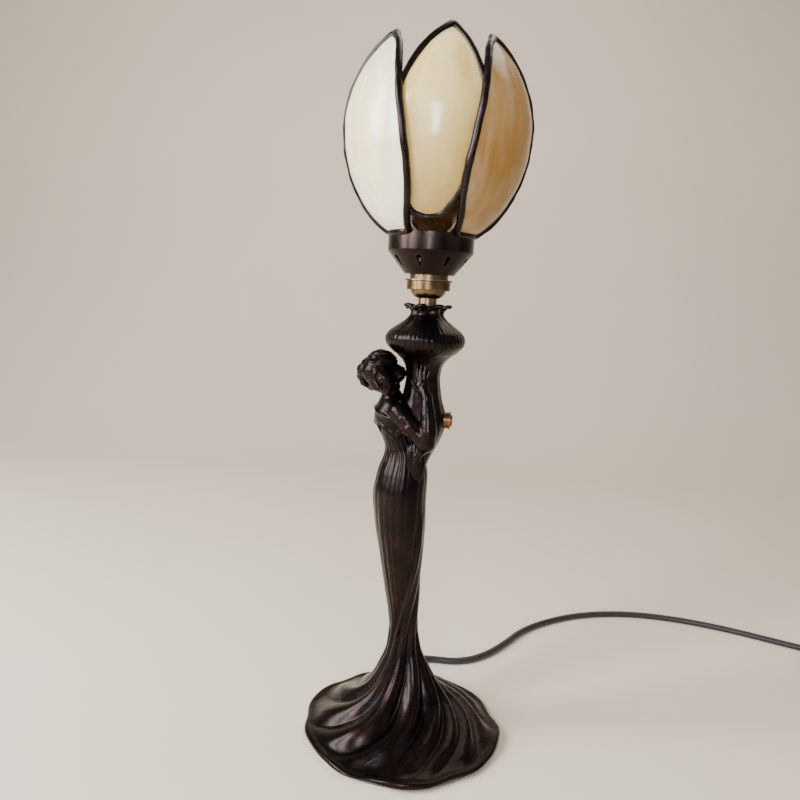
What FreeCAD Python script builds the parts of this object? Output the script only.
"""A table lamp: a cast bronze lady in a swirling dress holds a vase-shaped column, and a leaded
glass tulip shade of six petals sits on a brass lampholder above it.

Millimetres, +Z up. The origin is the middle of the foot, on the surface that the lamp stands on.
-Y is the front. The rod, the vase and the shade stand on the Z axis, and the lady stands to their
left, towards -X.
"""
import FreeCAD, Part
import math
import os
from FreeCAD import Rotation, Vector

# ---------------------------------------------------------------- driving dimensions
FELT_THICK = 2.0
FOOT_RADIUS = 87.0
NARROWEST_Z = 92.0           # where the dress is slimmest, above the foot
SHOULDER_Z = 301.0
FOLDS = 9                    # folds that run round the dress and swirl out over the foot
SWIRL_DEG_PER_MM = -1.55     # how far a fold turns for each millimetre that the foot widens
ROD_RADIUS, ROD_BORE = 5.0, 3.9
ROD_HOLE = 5.6               # the clearance hole that the rod runs through
ROD_FOOT_Z, ROD_TOP_Z = 36.0, 386.0
NUT_SEAT_Z = 46.0            # the web in the foot that the rod's nut pulls against
VASE_FOOT_Z, VASE_WEB_Z, VASE_RIM_Z = 240.0, 368.0, 378.0
CAP_Z = 384.5                # underside of the lampholder
RING_Z = 391.0               # underside of the lampholder's coupling ring
CUP_Z = 403.9                # underside of the shade's metal cup
CUP_RADIUS, CUP_TOP_Z = 35.3, 435.8
PETAL_RADIUS = 75.2          # of the shade at its widest
GLASS_THICK = 2.4
CAME_THICK = 4.0
# degrees round from the front, towards +X, that the petals of each row were soldered at
OUTER_TURNS = (-57.0, 55.0, 179.0)
INNER_TURNS = (-1.0, 117.0, 241.0)
INNER_TIPS = (587.5, 575.0, 575.0)     # the two inner petals at the back are cut shorter
FRONT_LEAN = 4.7             # degrees that the front petal leans to its right
SWITCH_Z = 283.5
SWITCH_TURN = 82.0           # degrees round from the front, towards +X
BUTTON_TRAVEL = 2.0
CORD_RADIUS = 3.5
CORD_LENGTH = 1800.0         # of the whole lead, from the foot to the plug
FLEX_RADIUS = 2.9            # of the bundle of cores inside the lamp

TURN = 2 * math.pi
UP = Vector(0, 0, 1)


# ---------------------------------------------------------------- helpers
def front_turn(degrees):
    """The unit vector that points that far round from the front, towards +X."""
    a = math.radians(degrees)
    return Vector(math.sin(a), -math.cos(a), 0)


def smooth(points):
    """One smooth edge through (radius, z) points, in the XZ plane."""
    curve = Part.BSplineCurve()
    curve.interpolate([Vector(r, 0, z) for r, z in points])
    return curve.toShape()


def straight(points):
    """Straight edges through (radius, z) points, in the XZ plane."""
    return [
        Part.makeLine(Vector(a[0], 0, a[1]), Vector(b[0], 0, b[1]))
        for a, b in zip(points, points[1:])
    ]


def spun(edges):
    """The solid that a closed outline in the XZ plane makes, turned about the lamp's axis."""
    return Part.Face(Part.Wire(edges)).revolve(Vector(0, 0, 0), UP, 360)


def turned(points):
    """A lathe-turned solid with straight sides through (radius, z) points."""
    return spun(straight(points + points[:1]))


def cylinder(radius, low, high, x=0.0, y=0.0):
    return Part.makeCylinder(radius, high - low, Vector(x, y, low), UP)


def rod_between(a, b, radius_a, radius_b=None):
    """A round or tapered bar from a to b."""
    along = b - a
    if radius_b is None or abs(radius_a - radius_b) < 1e-6:
        return Part.makeCylinder(radius_a, along.Length, a, along)
    return Part.makeCone(radius_a, radius_b, along.Length, a, along)


def ellipsoid(centre, half, rotation=None):
    """An ellipsoid with those half axes, turned about its centre."""
    ball = Part.makeSphere(1.0)
    stretch = FreeCAD.Matrix()
    stretch.scale(*half)
    ball = ball.transformGeometry(stretch)
    if rotation:
        ball.rotate(Vector(0, 0, 0), rotation.Axis, math.degrees(rotation.Angle))
    ball.translate(centre)
    return ball


def lofted(rings):
    """A smooth solid through closed rings of points, each ring level."""
    wires = []
    for ring in rings:
        curve = Part.BSplineCurve()
        curve.interpolate(ring, PeriodicFlag=True)
        wires.append(Part.Wire([curve.toShape()]))
    return Part.makeLoft(wires, True, False)


def fused(shapes):
    """One solid of several, with the faces that run on from each other joined."""
    whole = shapes[0].multiFuse(shapes[1:]) if len(shapes) > 1 else shapes[0]
    return whole.removeSplitter()


NODES = {}


def node(name, *shapes):
    """Keeps a node of one or more separate solids to be written."""
    NODES[name] = list(shapes)


# ---------------------------------------------------------------- the lady
# z, centre x, centre y, half width across x, half depth across y, fold depth as a share
DRESS = [
    (2.0, 0.0, 0, 86.0, 86.0, 0.010),
    (4.5, 0.0, 0, FOOT_RADIUS, FOOT_RADIUS, 0.012),
    (7.0, 0.0, 0, 86.0, 86.0, 0.014),
    (9.0, 0.0, 0, 82.5, 82.5, 0.020),
    (11.5, 0.0, 0, 76.5, 76.5, 0.032),
    (15.0, 0.0, 0, 68.5, 68.5, 0.045),
    (19.5, 0.0, 0, 60.0, 60.0, 0.055),
    (25.0, 0.0, 0, 50.5, 50.5, 0.065),
    (32.0, 0.0, 0, 41.0, 41.0, 0.070),
    (41.0, -0.3, 0, 32.2, 32.2, 0.070),
    (51.0, -0.7, 0, 26.0, 26.0, 0.065),
    (62.0, -1.1, 0, 20.8, 20.8, 0.055),
    (75.0, -2.1, 0, 15.0, 15.0, 0.045),
    (NARROWEST_Z, -3.5, 0, 12.4, 12.6, 0.035),
    (112.0, -4.9, 0, 13.2, 14.6, 0.030),
    (138.0, -7.3, 0, 15.8, 17.6, 0.028),
    (165.0, -9.5, 0, 19.0, 21.0, 0.025),
    (194.0, -12.1, 0, 22.0, 24.0, 0.022),
    (218.0, -13.7, 0, 23.0, 25.0, 0.018),
    (236.0, -12.5, 0, 21.6, 22.5, 0.014),
    (250.0, -11.7, 0, 17.8, 18.5, 0.012),
    (260.0, -13.5, 0, 15.2, 17.0, 0.010),
    (270.0, -17.3, 0, 16.4, 19.5, 0.010),
    (281.0, -20.3, 0, 18.6, 23.0, 0.010),
    (291.0, -21.5, 0, 17.6, 22.5, 0.010),
    (298.0, -21.7, 0, 13.5, 16.5, 0.008),
    (SHOULDER_Z, -21.7, 0, 9.0, 10.5, 0.004),
]
DRESS_POINTS = 90


def fold_turn(half_width, z):
    """How far the folds have turned at a level, in radians: only the foot swirls."""
    grown = max(0.0, half_width - 12.4) if z < NARROWEST_Z else 0.0
    return math.radians(SWIRL_DEG_PER_MM * grown + 0.10 * (NARROWEST_Z - z))


def dress_ring(z, cx, cy, half_x, half_y, fold, trim=0.0):
    """One level ring of the dress, taken in all round by trim."""
    ring = []
    for i in range(DRESS_POINTS):
        a = TURN * i / DRESS_POINTS
        swell = 1 + fold * math.cos(FOLDS * (a - fold_turn(half_x, z)))
        ring.append(Vector(cx + (half_x - trim) * swell * math.cos(a),
                           cy + (half_y - trim) * swell * math.sin(a), z))
    return ring


def dress():
    return lofted([dress_ring(*row) for row in DRESS])


def dress_core():
    """The hollow that the casting's core leaves in the skirt, above the foot."""
    wall = 4.6
    rows = [row for row in DRESS if 112.0 <= row[0] <= 236.0]
    return lofted([dress_ring(*row[:5], 0.0, trim=wall) for row in rows])


BOSS_RADIUS, BOSS_RING = 4.2, 55.0
PLATE_RADIUS, PLATE_THICK = 78.0, 1.5


def screw_places():
    """Where the three screws hold the base plate, evenly round the foot."""
    return [front_turn(60 + 120 * i) * BOSS_RING for i in range(3)]


def foot_hollow():
    """The open underside of the foot: a rebate for the plate, then a bowl up to the nut's web."""
    plate_top = FELT_THICK + PLATE_THICK
    bowl = turned([
        (0, 0), (PLATE_RADIUS + 0.3, 0), (PLATE_RADIUS + 0.3, plate_top), (75.0, plate_top),
        (73.0, 6.0), (62.0, 12.0), (50.0, 18.5), (40.0, 25.0), (31.0, 33.0),
        (24.0, 41.0), (17.0, NUT_SEAT_Z), (0, NUT_SEAT_Z),
    ])
    bosses = [cylinder(BOSS_RADIUS, plate_top, 20.0, p.x, p.y) for p in screw_places()]
    return bowl.cut(Part.makeCompound(bosses))


HEAD_CENTRE = Vector(-35.0, -6.0, 321.0)
HEAD_TILT = Rotation(Vector(0, 1, 0), -44)      # the crown leans to the lady's right


def arm(side):
    """The near arm (side -1) or the far arm (side 1): upper arm, forearm and closed hand."""
    shoulder = Vector(-18.5, 17.5 * side, 290.5)
    elbow = Vector(1.5, 26.5 * side, 264.5)
    wrist = Vector(5.0, 20.5 * side, 306.0)
    knuckles = Vector(2.0, 15.5 * side, 325.0)
    return [
        Part.makeSphere(8.2, shoulder),
        rod_between(shoulder, elbow, 7.6, 6.2),
        Part.makeSphere(6.4, elbow),
        rod_between(elbow, wrist, 6.0, 4.1),
        Part.makeSphere(4.3, wrist),
        rod_between(wrist, knuckles, 4.2, 3.4),
        Part.makeSphere(3.5, knuckles),
    ]


def figure_casting(vase_outside):
    neck = rod_between(Vector(-22.5, -1.0, 294.0), Vector(-29.5, -4.0, 312.0), 9.0, 7.4)
    skull = ellipsoid(HEAD_CENTRE, (15.0, 16.0, 19.0), HEAD_TILT)
    hair = ellipsoid(HEAD_CENTRE + Vector(-3.0, 3.0, 2.5), (18.6, 17.0, 14.0), HEAD_TILT)
    solid = fused([dress(), neck, skull, hair] + arm(-1) + arm(1))
    solid = solid.cut(foot_hollow())
    solid = solid.cut(cylinder(ROD_HOLE, NUT_SEAT_Z - 1, 262))
    solid = solid.cut(dress_core())
    solid = solid.cut(vase_outside)
    for place in screw_places():
        solid = solid.cut(cylinder(1.25, 2.0, 13.0, place.x, place.y))
    hole_start = CORD_EXIT - EXIT_WAY * 45.0
    return solid.cut(Part.makeCylinder(INLET_RADIUS, 60, hole_start, EXIT_WAY))


# ---------------------------------------------------------------- the vase
VASE_SIDE = [
    (8.6, VASE_FOOT_Z), (10.6, 247.0), (14.4, 256.0), (18.6, 266.5), (21.6, 277.0), (21.9, 285.0),
    (19.4, 293.0), (16.9, 301.0), (15.2, 311.0), (14.6, 320.0), (16.2, 328.0), (21.8, 335.5),
    (29.2, 342.0), (33.3, 350.0), (29.6, 357.5), (22.0, 363.5), (16.0, 368.5), (13.6, 372.5),
]
VASE_WALL = 3.4
RIM_LOBES = 7


def vase_outside():
    return spun([smooth(VASE_SIDE)] + straight(
        [VASE_SIDE[-1], (0, VASE_SIDE[-1][1]), (0, VASE_FOOT_Z), VASE_SIDE[0]]))


def rim_ring(z, radius, lobe):
    return [
        Vector(radius * (1 + lobe * math.cos(RIM_LOBES * a)) * math.cos(a),
               radius * (1 + lobe * math.cos(RIM_LOBES * a)) * math.sin(a), z)
        for a in (TURN * i / 84 for i in range(84))
    ]


def vase_casting():
    rim = lofted([
        rim_ring(371.0, 13.4, 0.0), rim_ring(373.0, 13.7, 0.02),
        rim_ring(375.8, 15.4, 0.07), rim_ring(VASE_RIM_Z, 17.0, 0.10),
    ])
    solid = fused([vase_outside(), rim])
    throat = turned([(0, VASE_WEB_Z), (9.6, VASE_WEB_Z), (10.4, 373.0), (14.0, 379.0), (0, 379.0)])
    inside = [(r - VASE_WALL, z) for r, z in VASE_SIDE if 301.0 <= z <= 363.5]
    hollow = spun([smooth(inside)] + straight(
        [inside[-1], (0, inside[-1][1]), (0, inside[0][1]), inside[0]]))
    solid = solid.cut(throat).cut(hollow).cut(cylinder(ROD_HOLE, VASE_FOOT_Z - 1, 375))
    return solid.cut(switch_pocket())


# ---------------------------------------------------------------- the switch in the vase's side
SWITCH_OUT = front_turn(SWITCH_TURN)
SWITCH_AXIS_START = Vector(0, 0, SWITCH_Z)
BUSH_RADIUS, BUTTON_RADIUS, SWITCH_BODY_RADIUS = 6.9, 4.9, 6.2
SWITCH_BODY_IN, BUSH_IN, BUSH_END, BUTTON_END = 6.6, 15.0, 25.6, 27.2


def along_switch(radius, start, end):
    """A round bar along the switch's axis, between two distances from the lamp's axis."""
    return Part.makeCylinder(radius, end - start, SWITCH_AXIS_START + SWITCH_OUT * start, SWITCH_OUT)


def switch_pocket():
    pocket = along_switch(SWITCH_BODY_RADIUS, SWITCH_BODY_IN, BUSH_IN + 1)
    return fused([pocket, along_switch(BUSH_RADIUS, BUSH_IN, 40)])


def make_switch():
    stem_radius, stem_clear = 2.2, 2.4
    bush = fused([along_switch(BUSH_RADIUS, BUSH_IN, BUSH_END),
                  along_switch(BUSH_RADIUS + 0.5, BUSH_END - 1.2, BUSH_END)])
    bush = bush.cut(along_switch(BUTTON_RADIUS + 0.25, 19.0, 40))
    node("switch_bush", bush.cut(along_switch(stem_clear, 10, 40)))
    body = along_switch(SWITCH_BODY_RADIUS, SWITCH_BODY_IN, BUSH_IN)
    node("switch_body", body.cut(along_switch(stem_clear, 10.5, 40)))
    head_in = 19.3 + BUTTON_TRAVEL
    button = fused([along_switch(BUTTON_RADIUS, head_in, BUTTON_END),
                    along_switch(stem_radius, 11.0 + BUTTON_TRAVEL, head_in)])
    tip = [e for e in button.Edges
           if abs((e.CenterOfMass - SWITCH_AXIS_START).dot(SWITCH_OUT) - BUTTON_END) < 1e-6]
    node("switch_button", button.makeFillet(0.8, tip))


# ---------------------------------------------------------------- rod, nuts and lampholder
def hexagon(across_flats, low, high):
    corner = across_flats / math.sqrt(3)
    points = [Vector(corner * math.cos(TURN * i / 6), corner * math.sin(TURN * i / 6), low)
              for i in range(7)]
    return Part.Face(Part.makePolygon(points)).extrude(Vector(0, 0, high - low))


def make_rod():
    rod = turned([(ROD_BORE, ROD_FOOT_Z), (ROD_RADIUS, ROD_FOOT_Z), (ROD_RADIUS, ROD_TOP_Z),
                  (ROD_BORE, ROD_TOP_Z)])
    node("threaded_rod", rod)
    node("rod_washer", turned([(ROD_RADIUS, 44.4), (12.0, 44.4), (12.0, NUT_SEAT_Z),
                               (ROD_RADIUS, NUT_SEAT_Z)]))
    node("rod_nut", hexagon(15.0, 39.4, 44.4).cut(cylinder(ROD_RADIUS, 30, 60)))
    node("neck_collar", turned([(ROD_RADIUS, VASE_WEB_Z), (7.0, VASE_WEB_Z), (7.7, 369.0),
                                (7.7, CAP_Z), (ROD_RADIUS, CAP_Z)]))


SLEEVE_IN, SLEEVE_OUT = 11.4, 12.6
THREAD_RADIUS = 14.2         # of the lampholder's outside thread, which the shade ring runs on
SLEEVE_TOP_Z = 428.0
PIN_Z = 421.0                # the bulb cap's two pins, locked in the sleeve's slots
PIN_RADIUS = 1.0
PLUNGER_X = 4.2
BULB_TURN_DEG = 16.0


def make_lampholder():
    cap = spun(straight([(ROD_RADIUS, CAP_Z), (8.4, CAP_Z)]) + [
        Part.Arc(Vector(8.4, 0, CAP_Z), Vector(12.6, 0, 386.9), Vector(14.6, 0, RING_Z)).toShape()
    ] + straight([(14.6, RING_Z), (14.6, 398.2), (13.2, 398.2), (13.2, RING_Z), (9.2, 387.6),
                  (ROD_RADIUS, 387.0), (ROD_RADIUS, CAP_Z)]))
    node("lampholder_cap", cap)
    node("coupling_ring", turned([(14.9, RING_Z), (17.6, RING_Z), (18.0, RING_Z + 0.6),
                                  (18.0, 398.0), (19.6, 398.6), (19.6, 399.6), (14.9, 399.6)]))
    skirt = turned([
        (13.2, 398.4), (14.6, 398.4), (14.6, 399.8), (16.0, 399.8), (16.0, CUP_Z - 0.3),
        (THREAD_RADIUS, CUP_Z - 0.3), (THREAD_RADIUS, 413.0), (SLEEVE_OUT, 414.0),
        (SLEEVE_OUT, SLEEVE_TOP_Z - 0.6), (SLEEVE_OUT + 0.6, SLEEVE_TOP_Z), (SLEEVE_IN, SLEEVE_TOP_Z),
        (SLEEVE_IN, 408.0), (13.2, 408.0),
    ])
    for side in (1, -1):
        skirt = skirt.cut(bayonet_slot(Vector(side, 0, 0)))
    node("lampholder_sleeve", skirt)
    node("shade_ring", turned([(THREAD_RADIUS + 0.3, 405.9), (19.0, 405.9), (19.0, 407.2),
                               (17.2, 408.0), (17.2, 412.6), (THREAD_RADIUS + 0.3, 412.6)]))
    block = turned([(0, 394.0), (13.0, 394.0), (13.0, 407.6), (11.2, 407.6), (11.2, 411.0), (0, 411.0)])
    block = block.cut(cylinder(3.0, 393, 400))
    for side in (1, -1):
        block = block.cut(cylinder(2.1, 398.0, 412, side * PLUNGER_X))
    node("insulator_block", block)
    for side, name in ((1, "right"), (-1, "left")):
        make_plunger(name, side * PLUNGER_X)
    node("terminal_screws", *[cylinder(1.6, RING_Z, RING_Z + 3.0, side * 6.0) for side in (1, -1)])


def bayonet_slot(across):
    """An L-shaped slot in the sleeve: down from its mouth, then round to where the pin locks."""
    reach, wide = 16.0, 2.7
    slots = []
    steps = 5
    for i in range(steps):
        turn = BULB_TURN_DEG * i / (steps - 1)
        way = Rotation(UP, turn).multVec(across)
        slots.append(Part.makeCylinder(wide / 2, reach, Vector(0, 0, PIN_Z), way))
    way = Rotation(UP, BULB_TURN_DEG).multVec(across)
    side = UP.cross(way)
    corner = way * 8 - side * (wide / 2) + Vector(0, 0, PIN_Z)
    down = Part.makePolygon([corner, corner + side * wide, corner + side * wide + UP * 9,
                             corner + UP * 9, corner])
    slots.append(Part.Face(down).extrude(way * 8))
    return fused(slots)


def make_plunger(name, x):
    """A spring-loaded contact in the insulator block, and the plain sleeve its coil spring fills."""
    node("contact_plunger_" + name, fused([
        cylinder(1.9, 404.0, 409.0, x), cylinder(1.5, 409.0, 413.4, x)]))
    spring = cylinder(1.75, 398.0, 404.0, x).cut(cylinder(1.25, 398.0, 404.0, x))
    node("plunger_spring_" + name, spring)


# ---------------------------------------------------------------- the bulb
def make_bulb():
    cap_low, cap_high = 413.9, 431.0
    cap = turned([(10.2, cap_low), (10.9, cap_low + 0.7), (10.9, cap_high), (10.1, cap_high),
                  (10.1, cap_low + 0.9), (0, cap_low + 0.9), (0, cap_low)])
    pins = [rod_between(Vector(side * 10.5, 0, PIN_Z), Vector(side * 13.4, 0, PIN_Z),
                        PIN_RADIUS) for side in (1, -1)]
    node("bulb_cap", fused([cap] + pins))
    ball_z, ball_radius, thick = 458.0, 22.5, 0.9
    neck = 9.9
    meet = ball_z - math.sqrt(ball_radius ** 2 - (neck + 4) ** 2)
    outer = straight([(neck, cap_low + 1.2), (neck, cap_high)]) + [
        smooth([(neck, cap_high), (neck + 1.2, cap_high + 3.5), (neck + 4, meet)]),
        Part.Arc(Vector(neck + 4, 0, meet), Vector(ball_radius, 0, ball_z),
                 Vector(0, 0, ball_z + ball_radius)).toShape()]
    inner_radius = ball_radius - thick
    inner_meet = ball_z - math.sqrt(inner_radius ** 2 - (neck + 3.2) ** 2)
    inner = [
        Part.makeLine(Vector(0, 0, ball_z + ball_radius), Vector(0, 0, ball_z + inner_radius)),
        Part.Arc(Vector(0, 0, ball_z + inner_radius), Vector(inner_radius, 0, ball_z),
                 Vector(neck + 3.2, 0, inner_meet)).toShape(),
        smooth([(neck + 3.2, inner_meet), (neck + 0.35, cap_high + 3.6), (neck - thick, cap_high)]),
    ] + straight([(neck - thick, cap_high), (neck - thick, cap_low + 1.2), (neck, cap_low + 1.2)])
    node("bulb_glass", spun(outer + inner))
    stem = turned([(0, 415.2), (4.0, 415.2), (3.2, 436.0), (0, 438.0)])
    node("bulb_stem", stem)
    pips = [cylinder(1.7, cap_low - 0.3, cap_low, side * PLUNGER_X) for side in (1, -1)]
    node("bulb_contacts", *pips)


# ---------------------------------------------------------------- the shade
# z and radius of the tulip's outside, from the cup to the tips
TULIP = [(434.0, 33.4), (440.0, 42.0), (450.0, 52.0), (464.0, 61.5), (482.0, 69.8), (502.0, 74.4),
         (520.0, PETAL_RADIUS), (540.0, 71.6), (558.0, 64.0), (574.0, 53.0), (590.0, 37.5)]
# z and half width of a petal, seen square on
OUTER_LEAF = [(437.4, 14.5), (445.0, 22.2), (460.0, 32.6), (480.0, 39.8), (500.0, 41.2),
              (516.0, 39.8), (534.0, 35.8), (552.0, 29.0), (568.0, 18.8), (582.0, 0.0)]
INNER_LEAF = [(445.5, 0.0), (448.5, 10.6), (456.0, 16.8), (472.0, 24.6), (492.0, 30.4),
              (512.0, 32.6), (532.0, 30.8), (552.0, 24.0), (571.0, 13.6), (587.5, 0.0)]
INNER_STEP = CAME_THICK            # how far the inner row sits inside the outer row
CAME_COVER, CAME_LAP = 2.2, 1.3    # how far the came laps onto the glass, and stands past it
PETAL_MIDDLE_Z = 516.0


def with_tip(outline, tip_z):
    """The outline with its upper part drawn down to a tip at that height."""
    share = (tip_z - PETAL_MIDDLE_Z) / (outline[-1][0] - PETAL_MIDDLE_Z)
    return [(PETAL_MIDDLE_Z + (z - PETAL_MIDDLE_Z) * share if z > PETAL_MIDDLE_Z else z, half)
            for z, half in outline]


def tulip_shell(inset, thick):
    """A wall of the tulip's shape, whose outside is inset from TULIP."""
    outside = [(r - inset, z) for z, r in TULIP]
    inside = [(r - inset - thick, z) for z, r in reversed(TULIP)]
    return spun([smooth(outside)] + straight([outside[-1], inside[0]]) + [smooth(inside)]
                + straight([inside[-1], outside[0]]))


def leaf(outline, grow, turn, lean):
    """A bar with the petal's outline, pushed out from the axis. grow widens it all round."""
    out = front_turn(turn)
    across = Vector(-out.y, out.x, 0)
    middle = Vector(0, 0, PETAL_MIDDLE_Z)
    start = 8.0

    def place(z, half):
        flat = across * half + UP * (z - PETAL_MIDDLE_Z)
        return middle + Rotation(out, -lean).multVec(flat) + out * start

    sides = [(z, w + grow) for z, w in outline[1:-1]] + [(outline[-1][0] + grow * 1.5, 0.0)]
    foot_z, foot_half = outline[0]
    if foot_half > 0:                      # a petal that stands on the cup has a flat foot
        sides = [(foot_z - grow, foot_half + grow)] + sides
        right = [place(z, w) for z, w in sides]
        left = [place(z, -w) for z, w in sides]
        edges = [spline(right), spline(left), Part.makeLine(left[0], right[0])]
    else:                                  # a petal that hangs between two has a round foot
        left = [place(z, -w) for z, w in reversed(sides)]
        right = [place(z, w) for z, w in sides]
        edges = [spline(left + [place(foot_z - grow, 0.0)] + right)]
    return Part.Face(Part.Wire(Part.__sortEdges__(edges))).extrude(out * 90.0)


def spline(points):
    curve = Part.BSplineCurve()
    curve.interpolate(points)
    return curve.toShape()


def petal(outline, inset, turn, lean):
    """The glass of one petal and the came round its edge."""
    glass_inset = inset + (CAME_THICK - GLASS_THICK) / 2
    glass = tulip_shell(glass_inset, GLASS_THICK).common(leaf(outline, 0.0, turn, lean))
    came = tulip_shell(inset, CAME_THICK).common(leaf(outline, CAME_LAP, turn, lean))
    came = came.cut(leaf(outline, -CAME_COVER, turn, lean)).cut(glass)
    return glass, came


def make_petals():
    below_cup_top = cylinder(60.0, CUP_TOP_Z - 20, CUP_TOP_Z)
    outer_leaves = [OUTER_LEAF] * len(OUTER_TURNS)
    inner_leaves = [with_tip(INNER_LEAF, tip_z) for tip_z in INNER_TIPS]
    rows = (("outer", outer_leaves, 0.0, OUTER_TURNS), ("inner", inner_leaves, INNER_STEP, INNER_TURNS))
    for row, leaves, inset, turns in rows:
        for i, (outline, turn) in enumerate(zip(leaves, turns)):
            lean = FRONT_LEAN if turn == INNER_TURNS[0] else 0.0
            glass, came = petal(outline, inset, turn, lean)
            node(f"{row}_petal_{i + 1}", glass.cut(below_cup_top))
            node(f"{row}_came_{i + 1}", came.cut(below_cup_top))


VENTS = 8
VENT_TURN = -19.0


def cup_shell():
    """The metal cup that the petals are soldered to, with teardrop vents in its cone."""
    wall = 1.2
    low = CUP_Z
    cup = turned([
        (THREAD_RADIUS + 0.3, low), (20.6, low), (34.9, 421.6), (CUP_RADIUS, 422.2),
        (CUP_RADIUS, CUP_TOP_Z), (CUP_RADIUS - wall, CUP_TOP_Z), (CUP_RADIUS - wall, 422.9),
        (20.1, low + wall), (THREAD_RADIUS + 0.3, low + wall),
    ])
    cutters = []
    for i in range(VENTS):
        out = front_turn(VENT_TURN + i * 360 / VENTS)
        slope = (out * 14.3 + UP * 17.7).normalize()
        normal = (out * 17.7 - UP * 14.3).normalize()
        middle = out * 28.4 + UP * 413.3
        cutters.append(Part.makeCylinder(2.3, 10, middle + slope * 3.4 - normal * 5, normal))
        cutters.append(Part.makeCylinder(1.1, 10, middle - slope * 3.6 - normal * 5, normal))
        side = slope.cross(normal)
        web = Part.makePolygon([
            middle + slope * 3.4 + side * 1.9 - normal * 5, middle + slope * 3.4 - side * 1.9 - normal * 5,
            middle - slope * 3.6 - side * 0.9 - normal * 5, middle - slope * 3.6 + side * 0.9 - normal * 5,
            middle + slope * 3.4 + side * 1.9 - normal * 5])
        cutters.append(Part.Face(web).extrude(normal * 10))
    return cup.cut(Part.makeCompound(cutters))


# ---------------------------------------------------------------- the foot's plate and felt
def make_foot_parts():
    plate_top = FELT_THICK + PLATE_THICK
    plate = cylinder(PLATE_RADIUS, FELT_THICK, plate_top)
    screws = []
    for place in screw_places():
        head = Part.makeCone(2.9, 1.5, PLATE_THICK, Vector(place.x, place.y, FELT_THICK), UP)
        shank = cylinder(1.25, plate_top, 12.0, place.x, place.y)
        plate = plate.cut(head)
        screws.append(fused([head.cut(cylinder(1.4, plate_top, 20, place.x, place.y)), shank]))
    node("base_plate", plate)
    node("base_plate_screws", *screws)
    node("felt_pad", cylinder(FOOT_RADIUS - 4, 0.0, FELT_THICK))


# ---------------------------------------------------------------- the lead
# where the lead leaves its strain relief, and the corners of its route over the table
CORD_EXIT = Vector(-9.5, 91.5, 8.8)
EXIT_TURN = 60.0             # degrees from +X towards +Y that the lead leaves at
EXIT_WAY = Vector(math.cos(math.radians(EXIT_TURN)), math.sin(math.radians(EXIT_TURN)), 0)
INLET_RADIUS = 4.9
INLET_LONG, RELIEF_LONG = 12.0, 24.0
LAID = CORD_RADIUS + 0.1
ROUTE = [
    (-9.5, 91.5, 8.8), (-1.5, 105.4, 6.8), (13.1, 115.9, 4.8), (32.8, 119.4, LAID),
    (54.6, 116.3, LAID), (76.5, 123.4, LAID), (98.0, 141.0, LAID), (119.0, 167.0, LAID),
    (141.0, 198.0, LAID), (177.0, 228.0, LAID), (225.0, 253.0, LAID), (283.0, 264.0, LAID),
    (342.0, 257.0, LAID), (399.0, 236.0, LAID), (449.0, 208.0, LAID), (485.0, 188.5, LAID),
    (510.5, 181.9, LAID),
]
COIL_X, COIL_Y, COIL_RADIUS, COIL_HEIGHT = 499.0, 140.0, 40.0, 17.0
COIL_HALF_WIDTH = 2 * CORD_RADIUS
TAIL = [(542.3, 136.0, 14.0), (539.5, 104.0, 10.0), (524.0, 78.5, 9.0), (499.0, 60.0, 9.0)]
TIE_THICK, TIE_WIDTH = 1.3, 7.0


def bends(points, reaches=None):
    """Straight runs and the tangent arcs between them, and each arc's radius.

    reaches says how far from each corner its arc starts; otherwise it is 0.45 of the shorter run.
    """
    corners = [Vector(*p) for p in points]
    edges, radii = [], []
    here = corners[0]
    for i, (before, corner, after) in enumerate(zip(corners, corners[1:], corners[2:])):
        reach = reaches[i] if reaches else 0.45 * min((corner - before).Length, (after - corner).Length)
        back = (before - corner).normalize()
        ahead = (after - corner).normalize()
        half_turn = (math.pi - back.getAngle(ahead)) / 2
        radius = reach / math.tan(half_turn)
        start = corner + back * reach
        end = corner + ahead * reach
        middle = corner + (back + ahead).normalize() * (radius / math.cos(half_turn) - radius)
        edges.append(Part.LineSegment(here, start).toShape())
        edges.append(Part.Arc(start, middle, end).toShape())
        radii.append(radius)
        here = end
    edges.append(Part.LineSegment(here, corners[-1]).toShape())
    return edges, radii


def tube(points, radius, name):
    """A round tube along a route, with its bends and its volume printed."""
    edges, radii = bends(points)
    path = Part.Wire(edges)
    way = Vector(*points[1]) - Vector(*points[0])
    ring = Part.Wire([Part.Circle(Vector(*points[0]), way, radius).toShape()])
    solid = path.makePipeShell([ring], True, True)
    expected = math.pi * radius ** 2 * path.Length
    print(name, "length", round(path.Length, 1), "radii", [round(r, 1) for r in radii],
          "volume share", round(solid.Volume / expected, 4))
    return solid, path.Length


def ring_solid(inner, outer, low, high):
    return Part.makeCylinder(outer, high - low, Vector(COIL_X, COIL_Y, low), UP).cut(
        Part.makeCylinder(inner, high - low, Vector(COIL_X, COIL_Y, low), UP))


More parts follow.
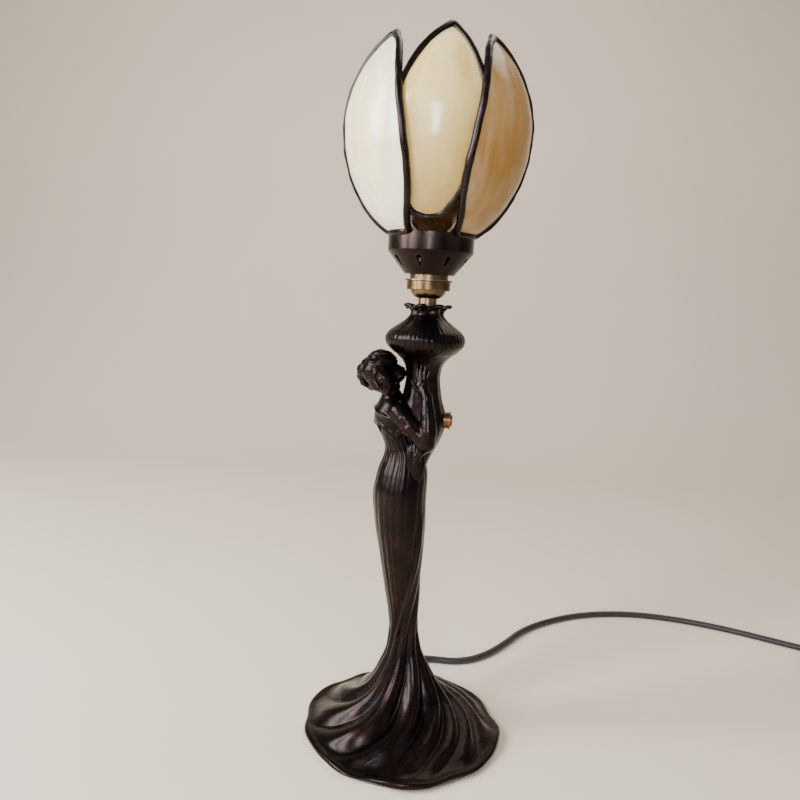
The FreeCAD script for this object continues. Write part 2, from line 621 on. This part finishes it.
def make_cord():
    inner, outer = COIL_RADIUS - COIL_HALF_WIDTH, COIL_RADIUS + COIL_HALF_WIDTH
    coil = ring_solid(inner, outer, 0.0, COIL_HEIGHT)
    band = ring_solid(inner - TIE_THICK, outer + TIE_THICK, 0.0, COIL_HEIGHT + TIE_THICK)
    band = band.cut(ring_solid(inner, outer, TIE_THICK, COIL_HEIGHT))
    tie_box = Part.makeBox(TIE_WIDTH, 30, 40, Vector(COIL_X - TIE_WIDTH / 2, COIL_Y - 55, -5))
    tie = band.common(tie_box)
    coil = coil.cut(tie)
    run, run_length = tube(ROUTE, CORD_RADIUS, "cord_run")
    tail, tail_length = tube(TAIL, CORD_RADIUS, "cord_tail")
    coil_length = CORD_LENGTH - run_length - tail_length
    print("coil length", round(coil_length), "turns", round(coil_length / (TURN * COIL_RADIUS), 2))
    node("cord_run", largest(run.cut(fused([coil, relief_solid()]))))
    node("cord_coil", coil)
    node("cord_tie", tie)
    node("cord_tail", largest(tail.cut(coil)))


def largest(shape):
    return max(shape.Solids, key=lambda s: s.Volume)


def relief_solid():
    """The soft bush moulded on the lead: a plug in the foot's hole and a tapered tail."""
    inside = CORD_EXIT - EXIT_WAY * (INLET_LONG + RELIEF_LONG)
    waist = CORD_EXIT - EXIT_WAY * RELIEF_LONG
    return fused([rod_between(inside, waist, INLET_RADIUS),
                  rod_between(waist, CORD_EXIT, INLET_RADIUS, CORD_RADIUS + 0.3)])


KNEE_RUN = 16.0              # how far the cores run on inside the foot before they turn
FLEX_TOP_Z = 393.5
FLEX_REACHES = (11.0, 22.0)


def make_strain_relief():
    """The bush, and the cores that run from it through the foot and up the rod to the terminals."""
    inside = CORD_EXIT - EXIT_WAY * (INLET_LONG + RELIEF_LONG)
    node("strain_relief", relief_solid())
    knee = inside - EXIT_WAY * KNEE_RUN
    axis = Vector(0, 0, knee.z)
    points = [tuple(inside), tuple(knee), tuple(axis), (0, 0, FLEX_TOP_Z)]
    edges, radii = bends(points, FLEX_REACHES)
    ring = Part.Wire([Part.Circle(inside, EXIT_WAY, FLEX_RADIUS).toShape()])
    node("inner_flex", Part.Wire(edges).makePipeShell([ring], True, True))
    print("inner flex radii", [round(r, 1) for r in radii])


# ---------------------------------------------------------------- the three-pin plug
PLUG_HALF, PLUG_BACK, PLUG_FACE = 25.0, 16.0, 22.0
PIN_SPREAD, EARTH_OFFSET = 11.11, 22.23
LINE_PIN, EARTH_PIN = (4.0, 6.35, 17.7), (8.0, 4.0, 22.7)      # along, across and out


def on_plug(shape):
    """Puts a shape made with the plug's inlet at the origin, facing -X, at the tail's end."""
    last, end = Vector(*TAIL[-2]), Vector(*TAIL[-1])
    way = end - last
    shape.rotate(Vector(0, 0, 0), UP, math.degrees(math.atan2(way.y, way.x)))
    shape.translate(Vector(end.x, end.y, 0))
    return shape


def plug_outline(shrink, low, high):
    """The plug's body seen from its pins: narrow where the lead comes in."""
    s = shrink
    points = [(s, -11 + s), (14, -24 + s), (50 - s, -25 + s), (52 - s, -22), (52 - s, 22),
              (50 - s, 25 - s), (14, 24 - s), (s, 11 - s)]
    wire = Part.makePolygon([Vector(x, y, low) for x, y in points + points[:1]])
    return Part.Face(wire).extrude(Vector(0, 0, high - low))


def plug_pin(x, y, size):
    return Part.makeBox(*size[:2], size[2] + 5, Vector(x - size[0] / 2, y - size[1] / 2, PLUG_FACE - 5))


def make_plug():
    """A fused three-pin plug, lying on its back."""
    line_x = 19.0
    pins = {
        "plug_pin_line": plug_pin(line_x, PIN_SPREAD, LINE_PIN),
        "plug_pin_neutral": plug_pin(line_x, -PIN_SPREAD, LINE_PIN),
        "plug_pin_earth": plug_pin(line_x + EARTH_OFFSET, 0, EARTH_PIN),
    }
    cover = plug_outline(0, 0, PLUG_BACK).cut(plug_outline(2.2, 2.2, PLUG_BACK))
    cover = cover.makeFillet(1.8, [e for e in cover.Edges if e.BoundBox.ZMax < 0.01])
    inlet = Part.makeCylinder(CORD_RADIUS, 30, Vector(-10, 0, TAIL[-1][2]), Vector(1, 0, 0))
    cover = cover.cut(inlet.common(plug_outline(-5, 0, PLUG_BACK)))
    base = plug_outline(0, PLUG_BACK, PLUG_FACE)
    fuse = Part.makeCylinder(3.15, 25.4, Vector(line_x - 8, PIN_SPREAD, 9.6), Vector(1, 0, 0))
    screw = Part.makeCylinder(3.0, 2.0, Vector(29, 0, PLUG_FACE - 2), UP)
    base = base.cut(screw)
    for name, pin in pins.items():
        base = base.cut(pin)
        node(name, on_plug(pin.makeFillet(0.8, [e for e in pin.Edges if e.BoundBox.ZMin > 30])))
    node("plug_cover", on_plug(cover))
    node("plug_base", on_plug(base))
    node("plug_fuse", on_plug(fuse))
    node("plug_screw", on_plug(screw))


# ---------------------------------------------------------------- the whole lamp
def main():
    node("figure_casting", figure_casting(vase_outside()))
    node("vase_casting", vase_casting())
    make_foot_parts()
    make_switch()
    make_rod()
    make_lampholder()
    make_bulb()
    node("shade_cup", cup_shell())
    make_petals()
    make_strain_relief()
    make_cord()
    make_plug()
    os.makedirs("parts", exist_ok=True)
    for name, shapes in NODES.items():
        whole = shapes[0] if len(shapes) == 1 else Part.makeCompound(shapes)
        whole.exportStep(f"parts/{name}.step")
        print(f"{name:26s} solids {len(whole.Solids)} valid {whole.isValid()} volume {whole.Volume:.0f}")


main()
